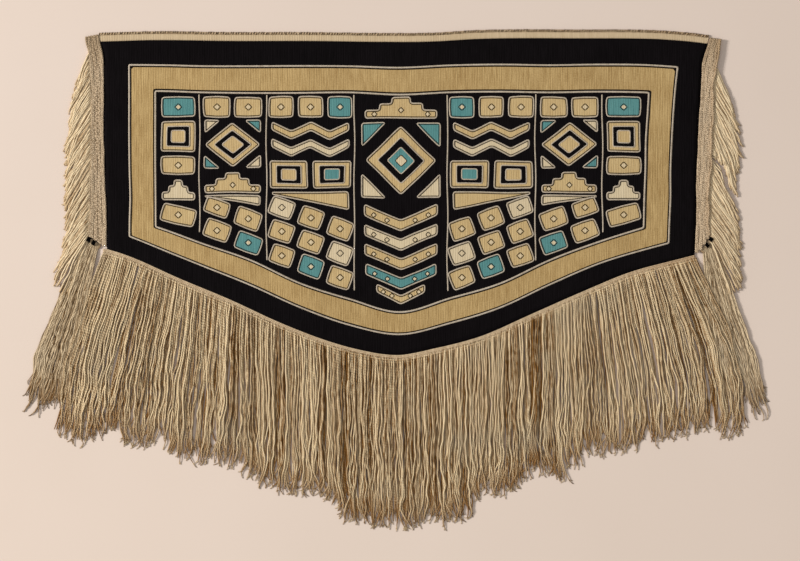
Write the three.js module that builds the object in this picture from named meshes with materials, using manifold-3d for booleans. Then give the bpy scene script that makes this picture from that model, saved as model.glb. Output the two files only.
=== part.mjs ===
// Chilkat blanket laid out face up: a five-sided twined cloth with its heading, side braids, fringes
// and corner tassels. Millimetres. +X runs along the heading, +Y from the fringe to the heading and
// +Z up from the surface that the blanket lies on. x = 0, y = 0 is the middle of its whole reach.

import * as THREE from 'three';
import { mergeVertices } from 'three/addons/utils/BufferGeometryUtils.js';
import Module from 'manifold-3d';

const wasm = await Module();
wasm.setup();

const SEAM_GAP = 0.3;
const WELD = 0.004;

const cloth = { thickness: 3.5, columns: 36, rows: 12 };
const clothWaves = [{ height: 0.3, across: 9, up: 5 }, { height: 0.18, across: 23, up: 4 }];
const heading = { width: 14, thickness: 3.8, ripple: 0.3, ripples: 5, rows: 2 };
const lashing = { width: 6, thickness: 3.4, crown: 1.4, stitch: 0.35, rows: 2 };
const braid = { thickness: 4.4, ridge: 1.2, uneven: 0.8, lumps: 9.5, cables: 3, columns: 6 };
const footing = { width: 15, thickness: 3.6, left: -673, right: 694 };
const sideBacking = { width: 5, thickness: 3 };
const tasselHead = { width: 9, thickness: 4 };
const tieWrap = { width: 8.6, length: 9, thickness: 1.3, crown: 0.7 };

// Locks: how deep each is rooted, how far it sways, and how much shorter than its place some are.
const bottomLocks = {
  count: 148, width: 7.4, height: 5.6, steps: 4, sunk: 5, inset: 0.55,
  sway: 2.2, swayStep: 0.45, uneven: 16, wander: 1.2,
};
const sideLocks = {
  pitch: 11.6, fill: 0.84, height: 4.2, steps: 3, sunk: 2.6,
  sway: 0.9, swayStep: 0.7, bow: 3, uneven: 14,
};
const tasselLocks = {
  count: 13, width: 3, tipWidth: 5.8, height: 5, steps: 5, firstRoot: 0.06, lastRoot: 0.94,
  sway: 2.5, swayStep: 0.5, uneven: 22,
};
const lockShape = { tipTaper: 0.55, rootHeight: 0.55, riseBy: 0.25, firstBend: 0.3, secondBend: 0.66 };

// Lower edge of the cloth, from the left corner by the point at the middle to the right corner.
const lowerEdgeRows = [
  { x: -690, y: 83 }, { x: -661, y: 76 }, { x: -608, y: 59 }, { x: -493, y: 8 }, { x: -378, y: -40 },
  { x: -263, y: -93 }, { x: -148, y: -137 }, { x: -60, y: -160 }, { x: 10, y: -168 }, { x: 82, y: -155 },
  { x: 197, y: -125 }, { x: 312, y: -75 }, { x: 427, y: -24 }, { x: 542, y: 23 }, { x: 657, y: 54 },
  { x: 687, y: 62 }, { x: 705, y: 66 },
];

// Seam between the cloth and the heading.
const topEdgeRows = [
  { x: -695, y: 549.5 }, { x: -677, y: 550 }, { x: -551, y: 553.5 }, { x: -378, y: 551.5 },
  { x: -206, y: 551.5 }, { x: -33, y: 549.5 }, { x: 82, y: 550 }, { x: 197, y: 556.5 },
  { x: 427, y: 557.5 }, { x: 599, y: 556 }, { x: 657, y: 552 }, { x: 719, y: 545 }, { x: 735, y: 541 },
];

// Left and right edges of the cloth, carried on past its corners for the heading.
const sideEdgeRows = [
  { y: 590, left: -685, right: 733 }, { y: 550, left: -677, right: 720 }, { y: 508, left: -668, right: 707 },
  { y: 474, left: -668, right: 704 }, { y: 405, left: -668, right: 700 }, { y: 336, left: -668, right: 696 },
  { y: 232, left: -665, right: 692 }, { y: 129, left: -661, right: 691 }, { y: 76, left: -661, right: 688 },
  { y: 40, left: -661, right: 686 },
];

// Outer edges of the side braids.
const braidEdgeRows = [
  { y: 575, left: -709, right: 756 }, { y: 555, left: -708, right: 753 }, { y: 531, left: -706, right: 746 },
  { y: 508, left: -704, right: 743 }, { y: 462, left: -700, right: 736 }, { y: 416, left: -699, right: 733 },
  { y: 347, left: -699, right: 732 }, { y: 267, left: -700, right: 728 }, { y: 186, left: -702, right: 723 },
  { y: 129, left: -704, right: 722 }, { y: 100, left: -706, right: 727 }, { y: 60, left: -706, right: 727 },
];

// Lower end of each side braid above the cloth's corner, from its seam, across = 0, to its outer edge.
const braidFootRows = [
  { across: 0, left: 0.6, right: 0.6 }, { across: 0.26, left: 5.5, right: 3.4 },
  { across: 1, left: 28, right: 44 },
];
const braidTop = { left: { inner: 568, outer: 563 }, right: { inner: 561, outer: 556 } };

// Tips of the bottom fringe: how far down they reach along X.
const bottomTipRows = [
  { x: -790, y: -366 }, { x: -720, y: -368 }, { x: -622, y: -366 }, { x: -493, y: -400 },
  { x: -364, y: -430 }, { x: -272, y: -476 }, { x: -144, y: -506 }, { x: -96, y: -556 },
  { x: 22, y: -560 }, { x: 150, y: -560 }, { x: 186, y: -502 }, { x: 298, y: -478 },
  { x: 390, y: -455 }, { x: 450, y: -402 }, { x: 610, y: -378 }, { x: 700, y: -366 },
  { x: 800, y: -362 },
];
const splay = { straightFrom: -332, straightTo: 358, leftReach: 99, rightReach: 98, power: 1.15 };

// Root and tip of the side locks, from the uppermost to the lowest.
const leftSideRows = [
  { rootY: 536, tipX: -733, tipY: 450 }, { rootY: 485, tipX: -748, tipY: 388 },
  { rootY: 416, tipX: -756, tipY: 312 }, { rootY: 301, tipX: -757, tipY: 196 },
  { rootY: 209, tipX: -758, tipY: 104 }, { rootY: 140, tipX: -771, tipY: 38 },
  { rootY: 114, tipX: -782, tipY: 6 },
];
const rightSideRows = [
  { rootY: 480, tipX: 787, tipY: 366 }, { rootY: 416, tipX: 794, tipY: 301 },
  { rootY: 301, tipX: 791, tipY: 180 }, { rootY: 186, tipX: 799, tipY: 72 },
  { rootY: 130, tipX: 798, tipY: -22 },
];

const tassels = {
  left: {
    head: { outer: [-707.5, 98.6], inner: [-677, 77.6] },
    tips: [[-859, -266], [-836, -300], [-774, -312]],
    bow: 5,
  },
  right: {
    head: { outer: [731.1, 101.4], inner: [706.5, 65.4] },
    tips: [[862, -292], [842, -324], [790, -316]],
    bow: -3,
  },
};
const wrapPlaces = { upper: 0.17, lower: 0.52 };

const colours = {
  black: '#141113', heading: '#b9a281', lashing: '#4a3626', braid: '#a78f72', sideFringe: '#bfa681',
  tassel: '#998165', bottomFringe: '#9d8464',
};

// Curve through a table's rows, level past its first and last row: smooth, or straight between rows.
function curveThrough(rows, inColumn, outColumn, Interpolant = THREE.CubicInterpolant) {
  const knots = [...rows].sort((a, b) => a[inColumn] - b[inColumn]);
  const places = knots.map((row) => row[inColumn]);
  const values = knots.map((row) => row[outColumn]);
  const curve = new Interpolant(places, values, 1, new Float64Array(1));
  return (place) => curve.evaluate(place)[0];
}

const lowerEdge = curveThrough(lowerEdgeRows, 'x', 'y');
const topEdge = curveThrough(topEdgeRows, 'x', 'y');
const bottomTip = curveThrough(bottomTipRows, 'x', 'y');
const sideEdge = {
  left: curveThrough(sideEdgeRows, 'y', 'left'),
  right: curveThrough(sideEdgeRows, 'y', 'right'),
};
const braidEdge = {
  left: curveThrough(braidEdgeRows, 'y', 'left'),
  right: curveThrough(braidEdgeRows, 'y', 'right'),
};
const outward = { left: -1, right: 1 };

// Repeatable spread of values from 0 to 1, so that every build gives the same blanket.
function makeRandom(seed) {
  let state = seed;
  return () => {
    state = (state * 1664525 + 1013904223) % 4294967296;
    return state / 4294967296;
  };
}

function mix(from, to, share) {
  return from + (to - from) * share;
}

// Point of the cloth at u across its width and v up its height.
function clothPoint(u, v) {
  let x = mix(sideEdge.left(0), sideEdge.right(0), u);
  let y = mix(lowerEdge(x), topEdge(x), v);
  for (let pass = 0; pass < 4; pass++) {
    x = mix(sideEdge.left(y), sideEdge.right(y), u);
    y = mix(lowerEdge(x), topEdge(x), v);
  }
  return { x, y };
}

// The cloth's grid points along its lower edge and up its sides, which what is seamed to it shares.
const steps = (count) => Array.from({ length: count + 1 }, (_, i) => i / count);
const lowerPoints = steps(cloth.columns).map((u) => clothPoint(u, 0));
const topPoints = steps(cloth.columns).map((u) => clothPoint(u, 1));
const sidePoints = {};
const sideSeam = {};
for (const [side, u] of [['left', 0], ['right', 1]]) {
  const crest = { x: sideEdge[side](sideEdgeRows[0].y), y: sideEdgeRows[0].y };
  sidePoints[side] = [...steps(cloth.rows).map((v) => clothPoint(u, v)), crest];
  sideSeam[side] = curveThrough(sidePoints[side], 'y', 'x', THREE.LinearInterpolant);
}
const footingEnds = [footing.left, footing.right].map((x) => ({ x, y: lowerEdge(x) }));
const seamPoints = [footingEnds[0], ...lowerPoints, footingEnds[1]];
const lowerSeam = curveThrough(seamPoints, 'x', 'y', THREE.LinearInterpolant);

// Point of the heading at u along it, so far above its seam with the cloth.
function headingPoint(u, above) {
  const seam = topPoints[Math.round(u * cloth.columns)];
  const y = seam.y + above;
  const lean = mix(sideSeam.left(y) - topPoints[0].x, sideSeam.right(y) - topPoints[cloth.columns].x, u);
  return [seam.x + lean, y];
}

// Closed slab on a grid: place(u, v) gives x and y, top and bottom give its two faces.
function slab(columns, rows, place, top, bottom = () => 0) {
  const geometry = new THREE.BoxGeometry(1, 1, 1, columns, rows, 1);
  const points = geometry.attributes.position;
  for (let i = 0; i < points.count; i++) {
    const u = points.getX(i) + 0.5;
    const v = points.getY(i) + 0.5;
    const [x, y] = place(u, v);
    const z = points.getZ(i) > 0 ? top(u, v) : bottom(u, v);
    points.setXYZ(i, x, y, z);
  }
  return geometry;
}

// Centre line of a lock, bowed to one side and swaying a little about that.
function lockCurve(root, tip, sway, bow = 0) {
  const run = tip.clone().sub(root);
  const across = new THREE.Vector2(-run.y, run.x).normalize();
  const first = root.clone().addScaledVector(run, lockShape.firstBend);
  first.addScaledVector(across, bow + sway / 2);
  const second = root.clone().addScaledVector(run, lockShape.secondBend);
  second.addScaledVector(across, bow - sway);
  return new THREE.SplineCurve([root, first, second, tip]);
}

// Three-sided lock along its centre line, one side level on the surface, thinner at its tip.
function lock(curve, rows, widthAt, height) {
  const corner = Math.sin((2 * Math.PI) / 3);
  const geometry = new THREE.CylinderGeometry(1, 1, 1, 3, rows);
  const points = geometry.attributes.position;
  for (let i = 0; i < points.count; i++) {
    const t = 0.5 - points.getY(i);
    const along = curve.getTangent(t);
    const middle = curve.getPoint(t);
    const taper = 1 - lockShape.tipTaper * t ** 4;
    const side = (points.getX(i) / corner) * widthAt(t) * taper * 0.5;
    const crest = height * taper * mix(lockShape.rootHeight, 1, Math.min(1, t / lockShape.riseBy));
    const z = Math.max(0, ((points.getZ(i) + 0.5) / 1.5) * crest);
    points.setXYZ(i, middle.x - along.y * side, middle.y + along.x * side, z);
  }
  return geometry;
}

function toSolid(geometry) {
  geometry.deleteAttribute('normal');
  geometry.deleteAttribute('uv');
  const merged = mergeVertices(geometry, WELD / 40);
  return new wasm.Manifold(
    new wasm.Mesh({
      numProp: 3,
      vertProperties: Float32Array.from(merged.attributes.position.array),
      triVerts: Uint32Array.from(merged.index.array),
    }),
  );
}

// One closed body from a backing and the locks rooted in it, without the slivers where they meet.
function fuse(backing, locks) {
  const mesh = locks.reduce((body, piece) => body.add(toSolid(piece)), toSolid(backing)).getMesh();
  const geometry = new THREE.BufferGeometry();
  geometry.setAttribute('position', new THREE.BufferAttribute(Float32Array.from(mesh.vertProperties), 3));
  geometry.setIndex(new THREE.BufferAttribute(Uint32Array.from(mesh.triVerts), 1));
  const welded = mergeVertices(geometry, WELD);
  const corners = welded.index.array;
  const kept = [];
  for (let i = 0; i < corners.length; i += 3) {
    const [a, b, c] = corners.slice(i, i + 3);
    if (a !== b && b !== c && c !== a) kept.push(a, b, c);
  }
  welded.setIndex(kept);
  return welded;
}

function named(name, geometry, colour, roughness) {
  const material = new THREE.MeshStandardMaterial({ color: colour, roughness, metalness: 0 });
  const mesh = new THREE.Mesh(geometry, material);
  mesh.name = name;
  return mesh;
}

function wovenBody() {
  const place = (u, v) => {
    const { x, y } = clothPoint(u, v);
    return [x, y];
  };
  const top = (u, v) => {
    const swells = clothWaves.map((wave) => wave.height * Math.sin(wave.across * u + wave.up * v));
    return swells.reduce((sum, swell) => sum + swell, cloth.thickness);
  };
  return slab(cloth.columns, cloth.rows, place, top);
}

function topHeading() {
  const place = (u, v) => headingPoint(u, SEAM_GAP + v * heading.width);
  const top = (u, v) => heading.thickness + heading.ripple * Math.sin(2 * Math.PI * heading.ripples * u + v);
  return slab(cloth.columns, heading.rows, place, top);
}

function headingLashing() {
  const place = (u, v) => headingPoint(u, heading.width + 2 * SEAM_GAP + v * lashing.width);
  const top = (u, v) => {
    const stitch = lashing.stitch * Math.sin((Math.PI / 2) * cloth.columns * u);
    return lashing.thickness + (lashing.crown + stitch) * Math.sin(Math.PI * v);
  };
  return slab(cloth.columns, lashing.rows, place, top);
}

// Heights up a side braid's seam: those of the cloth, the middles between them and the braid's top.
function braidHeights(side) {
  const seam = sidePoints[side].slice(0, -1).map((point) => point.y);
  const middles = seam.slice(1).map((y, i) => (y + seam[i]) / 2);
  return [...seam, ...middles, braidTop[side].inner].sort((a, b) => a - b);
}

// Point of a side braid, across from its seam with the cloth to its outer edge, at one of its rows.
function braidPoint(side, across, row) {
  const heights = braidHeights(side);
  const up = row / (heights.length - 1);
  const foot = curveThrough(braidFootRows, 'across', side)(across);
  const y = heights[row] + mix(foot, (braidTop[side].outer - braidTop[side].inner) * across, up);
  const bump = up > 0 && up < 1 ? braid.uneven * Math.sin(2 * Math.PI * braid.lumps * up) : 0;
  const outer = braidEdge[side](y) + outward[side] * bump;
  return [mix(sideSeam[side](y) + outward[side] * SEAM_GAP, outer, across), y];
}

// Plaited band down one side, its cables raised along it and its outer edge uneven.
function sideBraid(side) {
  const rows = braidHeights(side).length - 1;
  const place = (u, v) => braidPoint(side, outward[side] > 0 ? u : 1 - u, Math.round(v * rows));
  const top = (u, v) => {
    const cable = Math.abs(Math.sin(Math.PI * braid.cables * u));
    const plait = 0.5 + 0.5 * Math.sin((Math.PI / 2) * rows * v);
    return braid.thickness + braid.ridge * cable * mix(0.5, 1, plait);
  };
  return slab(braid.columns, rows, place, top);
}

// Narrow backing along a braid's outer edge, with the locks that fan down and out of it.
function sideFringe(side, rows, seed) {
  const sign = outward[side];
  const random = makeRandom(seed);
  const tipX = curveThrough(rows, 'rootY', 'tipX');
  const tipY = curveThrough(rows, 'rootY', 'tipY');
  const highest = rows[0].rootY;
  const lowest = rows[rows.length - 1].rootY;
  const outerPoints = braidHeights(side).map((_, row) => {
    const [x, y] = braidPoint(side, 1, row);
    return { x, y };
  });
  const edge = curveThrough(outerPoints, 'y', 'x', THREE.LinearInterpolant);
  const ends = [lowest - sideBacking.width, highest + sideBacking.width];
  const heights = outerPoints.map((point) => point.y);
  const stations = [ends[0], ...heights.filter((y) => y > ends[0] + 1 && y < ends[1] - 1), ends[1]];
  const place = (u, v) => {
    const y = stations[Math.round(v * (stations.length - 1))];
    return [edge(y) + sign * (SEAM_GAP + sideBacking.width * (sign > 0 ? u : 1 - u)), y];
  };
  const backing = slab(1, stations.length - 1, place, () => sideBacking.thickness);

  const count = Math.round((highest - lowest) / sideLocks.pitch);
  const locks = [];
  for (let i = 0; i <= count; i++) {
    const rootY = mix(highest, lowest, i / count);
    const rootX = edge(rootY) + sign * (SEAM_GAP + sideBacking.width - sideLocks.sunk);
    const root = new THREE.Vector2(rootX, rootY);
    const run = new THREE.Vector2(tipX(rootY), tipY(rootY)).sub(root);
    const slant = Math.abs(run.x) / run.length();
    const tip = root.clone().addScaledVector(run, 1 - (sideLocks.uneven * random()) / run.length());
    const sway = sideLocks.sway * Math.sin(i * sideLocks.swayStep);
    const curve = lockCurve(root, tip, sway, sign * sideLocks.bow);
    const width = ((highest - lowest) / count) * slant * sideLocks.fill;
    locks.push(lock(curve, sideLocks.steps, () => width, sideLocks.height));
  }
  return fuse(backing, locks);
}

// Bound head of a tassel, seen from above: from its outer end to its inner end.
function headFrame(side) {
  const { outer, inner } = tassels[side].head;
  const from = new THREE.Vector2(...outer);
  const along = new THREE.Vector2(...inner).sub(from);
  const length = along.length();
  along.divideScalar(length);
  const out = new THREE.Vector2(-outward[side] * along.y, outward[side] * along.x);
  const at = (share, offset) => {
    const point = from.clone().addScaledVector(along, length * share);
    return point.addScaledVector(out, offset);
  };
  return { at, length };
}

function headSlab(side, shareFrom, shareTo, width, top, bottom) {
  const frame = headFrame(side);
  const place = (u, v) => {
    const share = outward[side] < 0 ? u : 1 - u;
    return frame.at(mix(shareFrom, shareTo, share), (0.5 - v) * width).toArray();
  };
  return slab(2, 2, place, top, bottom);
}

function cornerTassel(side, seed) {
  const random = makeRandom(seed);
  const { tips, bow } = tassels[side];
  const frame = headFrame(side);
  const tipLine = new THREE.SplineCurve(tips.map((tip) => new THREE.Vector2(...tip)));
  const locks = [];
  for (let i = 0; i < tasselLocks.count; i++) {
    const share = i / (tasselLocks.count - 1);
    const root = frame.at(mix(tasselLocks.firstRoot, tasselLocks.lastRoot, share), 0);
    const tip = tipLine.getPoint(share);
    const run = tip.clone().sub(root);
    tip.addScaledVector(run, (-tasselLocks.uneven * random()) / run.length());
    const curve = lockCurve(root, tip, tasselLocks.sway * Math.sin(i * tasselLocks.swayStep), bow);
    const widthAt = (t) => mix(tasselLocks.width, tasselLocks.tipWidth, t);
    locks.push(lock(curve, tasselLocks.steps, widthAt, tasselLocks.height));
  }
  const head = headSlab(side, 0, 1, tasselHead.width, () => tasselHead.thickness);
  return fuse(head, locks);
}

function tieWrapOn(side, share) {
  const half = tieWrap.length / 2 / headFrame(side).length;
  const under = tasselHead.thickness + SEAM_GAP;
  const top = (u, v) => {
    const swell = Math.sin(Math.PI * v) * Math.sin(Math.PI * u);
    return under + tieWrap.thickness + tieWrap.crown * swell;
  };
  return headSlab(side, share - half, share + half, tieWrap.width, top, () => under);
}

// Cream footing under the cloth's pointed lower edge, with the long warp fringe rooted in it.
function bottomFringe(seed) {
  const random = makeRandom(seed);
  const slope = (x) => (lowerEdge(x + 1) - lowerEdge(x - 1)) / 2;
  const drop = (x) => Math.hypot(1, slope(x));
  const stations = [footing.left, ...lowerPoints.map((point) => point.x), footing.right];
  const place = (u, v) => {
    const x = stations[Math.round(u * (stations.length - 1))];
    return [x, lowerSeam(x) - (SEAM_GAP + footing.width * (1 - v)) * drop(x)];
  };
  const backing = slab(stations.length - 1, 1, place, () => footing.thickness);

  const inset = bottomLocks.width * bottomLocks.inset;
  const locks = [];
  for (let i = 0; i < bottomLocks.count; i++) {
    const rootX = mix(footing.left + inset, footing.right - inset, i / (bottomLocks.count - 1));
    const rootY = lowerSeam(rootX) - (SEAM_GAP + footing.width) * drop(rootX) + bottomLocks.sunk;
    const leftShare = Math.max(0, (splay.straightFrom - rootX) / (splay.straightFrom - footing.left));
    const rightShare = Math.max(0, (rootX - splay.straightTo) / (footing.right - splay.straightTo));
    const fan = splay.rightReach * rightShare ** splay.power - splay.leftReach * leftShare ** splay.power;
    const tipX = rootX + fan + bottomLocks.wander * (random() - 0.5);
    const tip = new THREE.Vector2(tipX, bottomTip(tipX) + bottomLocks.uneven * random());
    const sway = bottomLocks.sway * Math.sin(i * bottomLocks.swayStep);
    const curve = lockCurve(new THREE.Vector2(rootX, rootY), tip, sway);
    locks.push(lock(curve, bottomLocks.steps, () => bottomLocks.width, bottomLocks.height));
  }
  return fuse(backing, locks);
}

const blanket = new THREE.Group();
blanket.add(
  named('woven_body', wovenBody(), colours.black, 0.95),
  named('top_heading', topHeading(), colours.heading, 0.92),
  named('heading_lashing', headingLashing(), colours.lashing, 0.85),
  named('left_side_fringe', sideFringe('left', leftSideRows, 11), colours.sideFringe, 0.92),
  named('right_side_fringe', sideFringe('right', rightSideRows, 23), colours.sideFringe, 0.92),
  named('bottom_fringe', bottomFringe(37), colours.bottomFringe, 0.93),
);
for (const side of ['left', 'right']) {
  blanket.add(
    named(`${side}_side_braid`, sideBraid(side), colours.braid, 0.94),
    named(`${side}_corner_tassel`, cornerTassel(side, side === 'left' ? 5 : 7), colours.tassel, 0.93),
  );
  for (const [height, share] of Object.entries(wrapPlaces)) {
    blanket.add(named(`${side}_tie_wrap_${height}`, tieWrapOn(side, share), colours.black, 0.95));
  }
}

export default blanket;
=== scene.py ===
# Twined dance blanket laid out flat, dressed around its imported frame. Lengths in the dictionaries are
# millimetres in the frame's own X and Y. The meshes are made from them in metres.
import math

import bmesh
import bpy
import numpy as np
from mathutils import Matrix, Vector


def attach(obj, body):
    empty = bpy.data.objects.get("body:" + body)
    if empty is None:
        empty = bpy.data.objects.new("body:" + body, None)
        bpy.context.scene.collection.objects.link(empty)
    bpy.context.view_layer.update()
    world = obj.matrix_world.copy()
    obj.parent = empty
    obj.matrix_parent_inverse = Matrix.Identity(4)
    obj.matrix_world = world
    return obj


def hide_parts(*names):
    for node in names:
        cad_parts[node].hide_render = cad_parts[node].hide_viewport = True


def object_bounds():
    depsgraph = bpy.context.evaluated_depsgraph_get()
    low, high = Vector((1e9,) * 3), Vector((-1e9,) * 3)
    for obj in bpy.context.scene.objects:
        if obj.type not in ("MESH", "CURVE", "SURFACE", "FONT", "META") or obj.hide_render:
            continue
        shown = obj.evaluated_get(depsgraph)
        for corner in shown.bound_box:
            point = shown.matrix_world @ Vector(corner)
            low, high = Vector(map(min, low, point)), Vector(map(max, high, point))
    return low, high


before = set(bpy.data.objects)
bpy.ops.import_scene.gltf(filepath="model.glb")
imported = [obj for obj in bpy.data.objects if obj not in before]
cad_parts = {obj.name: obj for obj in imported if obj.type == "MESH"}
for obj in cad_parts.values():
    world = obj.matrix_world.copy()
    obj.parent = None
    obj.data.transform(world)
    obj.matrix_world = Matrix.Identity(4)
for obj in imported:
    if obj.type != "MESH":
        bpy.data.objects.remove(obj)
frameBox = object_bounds()
mm = 0.001
turn = 2 * math.pi

# Camera straight above. The picture is as wide as this at the floor.
photoView = {"wide": 1840, "middle": (12.65, 1.15), "height": 6000, "sensor": 36.0}


def placeCamera():
    data = bpy.data.cameras.new("photoCamera")
    data.sensor_width = photoView["sensor"]
    data.lens = photoView["sensor"] * photoView["height"] / photoView["wide"]
    camera = bpy.data.objects.new("photoCamera", data)
    camera.location = (photoView["middle"][0] * mm, photoView["middle"][1] * mm, photoView["height"] * mm)
    bpy.context.scene.collection.objects.link(camera)
    bpy.context.scene.camera = camera


# Soft low light from the left, with an even fill from all round
roomLight = {
    "at": (-10.8, 1.5, 5.9), "size": 2.2, "power": 1700, "colour": (1.0, 0.965, 0.92),
    "fill": 0.47, "fillColour": (1.0, 0.965, 0.93, 1),
}


def placeLights():
    data = bpy.data.lights.new("softLamp", "AREA")
    data.size = roomLight["size"]
    data.energy = roomLight["power"]
    data.color = roomLight["colour"]
    lamp = bpy.data.objects.new("softLamp", data)
    lamp.location = roomLight["at"]
    lamp.rotation_euler = (-lamp.location).to_track_quat("-Z", "Y").to_euler()
    bpy.context.scene.collection.objects.link(lamp)
    world = bpy.data.worlds.new("evenFill")
    world.use_nodes = True
    background = world.node_tree.nodes["Background"]
    background.inputs["Color"].default_value = roomLight["fillColour"]
    background.inputs["Strength"].default_value = roomLight["fill"]
    bpy.context.scene.world = world
    bpy.context.scene.view_settings.view_transform = "Standard"


# Material helpers. Colours are written as they look on screen, from 0 to 255.
def dye(colour):
    shares = [value / 255 for value in colour]
    return (*[((s + 0.055) / 1.055) ** 2.4 if s > 0.04 else s / 12.92 for s in shares], 1)


def startMaterial(name, roughness, sheen=0.0, gloss=0.2):
    material = bpy.data.materials.new(name)
    material.use_nodes = True
    shader = material.node_tree.nodes["Principled BSDF"]
    shader.inputs["Roughness"].default_value = roughness
    shader.inputs["Specular IOR Level"].default_value = gloss
    shader.inputs["Sheen Weight"].default_value = sheen
    shader.inputs["Sheen Roughness"].default_value = 0.6
    return material, material.node_tree, shader


def fill(tree, socket, value):
    if isinstance(value, bpy.types.NodeSocket):
        tree.links.new(value, socket)
    else:
        socket.default_value = value


def maths(tree, operation, *values):
    node = tree.nodes.new("ShaderNodeMath")
    node.operation = operation
    for socket, value in zip(node.inputs, values):
        fill(tree, socket, value)
    return node.outputs[0]


def mixColours(tree, share, first, second, kind="MIX"):
    node = tree.nodes.new("ShaderNodeMix")
    node.data_type = "RGBA"
    node.blend_type = kind
    for place, value in ((0, share), (6, first), (7, second)):
        fill(tree, node.inputs[place], value)
    return node.outputs[2]


def between(tree, value, low, high, outLow=0.0, outHigh=1.0):
    node = tree.nodes.new("ShaderNodeMapRange")
    for place, number in enumerate((value, low, high, outLow, outHigh)):
        fill(tree, node.inputs[place], number)
    return node.outputs[0]


def splitUp(tree, vector):
    node = tree.nodes.new("ShaderNodeSeparateXYZ")
    tree.links.new(vector, node.inputs[0])
    return node.outputs


def noiseOn(tree, vector, stretch, detail=2.0):
    mapping = tree.nodes.new("ShaderNodeMapping")
    mapping.inputs["Scale"].default_value = stretch
    tree.links.new(vector, mapping.inputs["Vector"])
    noise = tree.nodes.new("ShaderNodeTexNoise")
    noise.inputs["Scale"].default_value = 1.0
    noise.inputs["Detail"].default_value = detail
    tree.links.new(mapping.outputs["Vector"], noise.inputs["Vector"])
    return noise.outputs["Fac"]


def raiseBy(tree, shader, height, distance, strength=1.0):
    bump = tree.nodes.new("ShaderNodeBump")
    bump.inputs["Distance"].default_value = distance * mm
    bump.inputs["Strength"].default_value = strength
    tree.links.new(height, bump.inputs["Height"])
    tree.links.new(bump.outputs["Normal"], shader.inputs["Normal"])


# Twined cloth: upright ribs over the warps, crossed by slanted rows of stitches
twining = {"rib": 3.9, "row": 2.6, "slant": 1.4, "depth": 0.36, "waver": 4.0}


def twinedWool(name, colour, grooveShadeColour, streak, grooveShadeStrength=0.24, sheen=0.05, gloss=0.08):
    material, tree, shader = startMaterial(name, 0.95, sheen, gloss)
    place = tree.nodes.new("ShaderNodeTexCoord").outputs["Object"]
    x, y = splitUp(tree, place)[:2]
    ribs = maths(tree, "MULTIPLY", x, turn / (twining["rib"] * mm))
    ribs = maths(tree, "MULTIPLY_ADD", noiseOn(tree, place, (60, 45, 1)), twining["waver"], ribs)
    firmness = between(tree, noiseOn(tree, place, (140, 30, 1)), 0.35, 0.65, 0.35, 1.0)
    rib = maths(tree, "MULTIPLY", maths(tree, "COSINE", ribs), firmness)
    rows = maths(tree, "MULTIPLY", y, turn / (twining["row"] * mm))
    slant = maths(tree, "MULTIPLY", maths(tree, "SINE", ribs), twining["slant"])
    stitch = maths(tree, "SINE", maths(tree, "ADD", rows, slant))
    height = maths(tree, "ADD", maths(tree, "MULTIPLY", rib, 0.7), maths(tree, "MULTIPLY", stitch, 0.3))
    raiseBy(tree, shader, height, twining["depth"], 0.8)
    streaks = between(tree, noiseOn(tree, place, (320, 22, 1), 3.0), 0.35, 0.65)
    specks = between(tree, noiseOn(tree, place, (400, 330, 1)), 0.35, 0.65)
    patches = between(tree, noiseOn(tree, place, (9, 14, 1), 3.0), 0.35, 0.65)
    tone = maths(tree, "MULTIPLY_ADD", streaks, 0.5, maths(tree, "MULTIPLY", patches, 0.2))
    tone = maths(tree, "MULTIPLY_ADD", specks, 0.35, tone)
    plain = mixColours(tree, tone, dye(colour), dye(streak))
    # Painted shade: the grooves between ribs and stitches are darkened towards the groove shade colour
    paintedGrooveShade = maths(tree, "MULTIPLY", between(tree, height, 0.1, -0.9), grooveShadeStrength)
    fill(tree, shader.inputs["Base Color"], mixColours(tree, paintedGrooveShade, plain, dye(grooveShadeColour)))
    return material


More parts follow.
